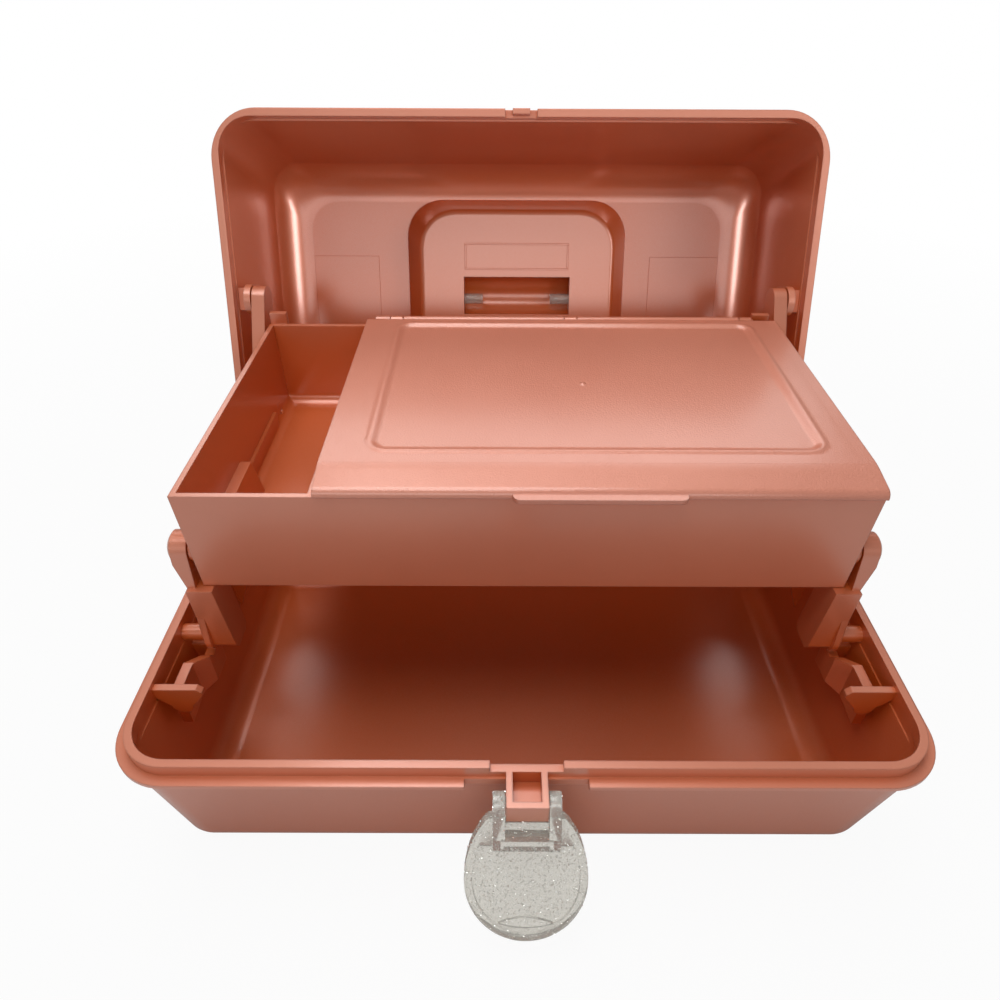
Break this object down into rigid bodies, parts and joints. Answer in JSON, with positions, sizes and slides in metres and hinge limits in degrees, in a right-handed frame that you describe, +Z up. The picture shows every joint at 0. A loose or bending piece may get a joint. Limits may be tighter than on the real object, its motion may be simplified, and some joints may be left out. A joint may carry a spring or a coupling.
{
  "type": "makeup storage case",
  "caption": "Moulded makeup case shown open: drafted bin, domed lid with sunken bail handle, lift-up tray on side levers, part-covered by a flip lid, and a round swing latch.",
  "frame": {"origin": "centre of the bin's underside", "axes": "+X to the right as seen from the latch, +Y from the latch to the hinge, +Z up"},
  "size_m": [0.251, 0.2902, 0.1919],
  "materials": {
    "case_plastic": "pearlescent rose-gold, satin",
    "glitter_plastic": "clear with fine silver glitter",
    "steel": "drawn wire",
    "mirror_glass": "silvered glass"
  },
  "bodies": {
    "base": {"base_shell": "case_plastic"},
    "lid": {"lid_shell": "case_plastic"},
    "rod": {"hinge_rod": "steel"},
    "front_levers": {"front_lever_left": "case_plastic", "front_lever_right": "case_plastic"},
    "tray": {"tray": "case_plastic"},
    "rear_levers": {"rear_lever_left": "case_plastic", "rear_lever_right": "case_plastic"},
    "flip_lid": {"flip_lid": "case_plastic", "mirror": "mirror_glass"},
    "latch": {"latch": "glitter_plastic"},
    "handle": {"handle": "glitter_plastic"}
  },
  "joints": [
    {"name": "lid_hinge", "type": "hinge", "parent": "base", "child": "lid", "pos_m": [0, 0.0775, 0.0515], "axis": [1, 0, 0], "range_deg": [0, 111.5]},
    {"name": "front_lever_pivot", "type": "hinge", "parent": "base", "child": "front_levers", "pos_m": [0, -0.0154, 0.0524], "axis": [1, 0, 0], "range_deg": [0, 73]},
    {"name": "tray_pivot", "type": "hinge", "parent": "front_levers", "child": "tray", "pos_m": [0, -0.0104, 0.0891], "axis": [1, 0, 0], "range_deg": [-73, 0]},
    {"name": "rear_lever_pivot", "type": "hinge", "parent": "tray", "child": "rear_levers", "pos_m": [0, 0.0846, 0.0837], "axis": [1, 0, 0], "range_deg": [0, 133]},
    {"name": "flip_lid_hinge", "type": "hinge", "parent": "tray", "child": "flip_lid", "pos_m": [0, 0.1012, 0.1172], "axis": [1, 0, 0], "range_deg": [-100, 0]},
    {"name": "latch_pivot", "type": "hinge", "parent": "base", "child": "latch", "pos_m": [0, -0.0775, 0.052], "axis": [-1, 0, 0], "range_deg": [-20, 151]},
    {"name": "handle_pivot", "type": "hinge", "parent": "lid", "child": "handle", "pos_m": [0, 0.16061, 0.10206], "axis": [1, 0, 0], "range_deg": [0, 180]},
    {"name": "rod_turn", "type": "hinge", "parent": "base", "child": "rod", "pos_m": [0, 0.0775, 0.0515], "axis": [1, 0, 0], "continuous": true}
  ],
  "couplings": [
    {"joint": "front_lever_pivot", "follows": "lid_hinge", "ratio": 0.647},
    {"joint": "tray_pivot", "follows": "lid_hinge", "ratio": -0.647},
    {"joint": "rear_lever_pivot", "follows": "lid_hinge", "ratio": 1.182}
  ]
}
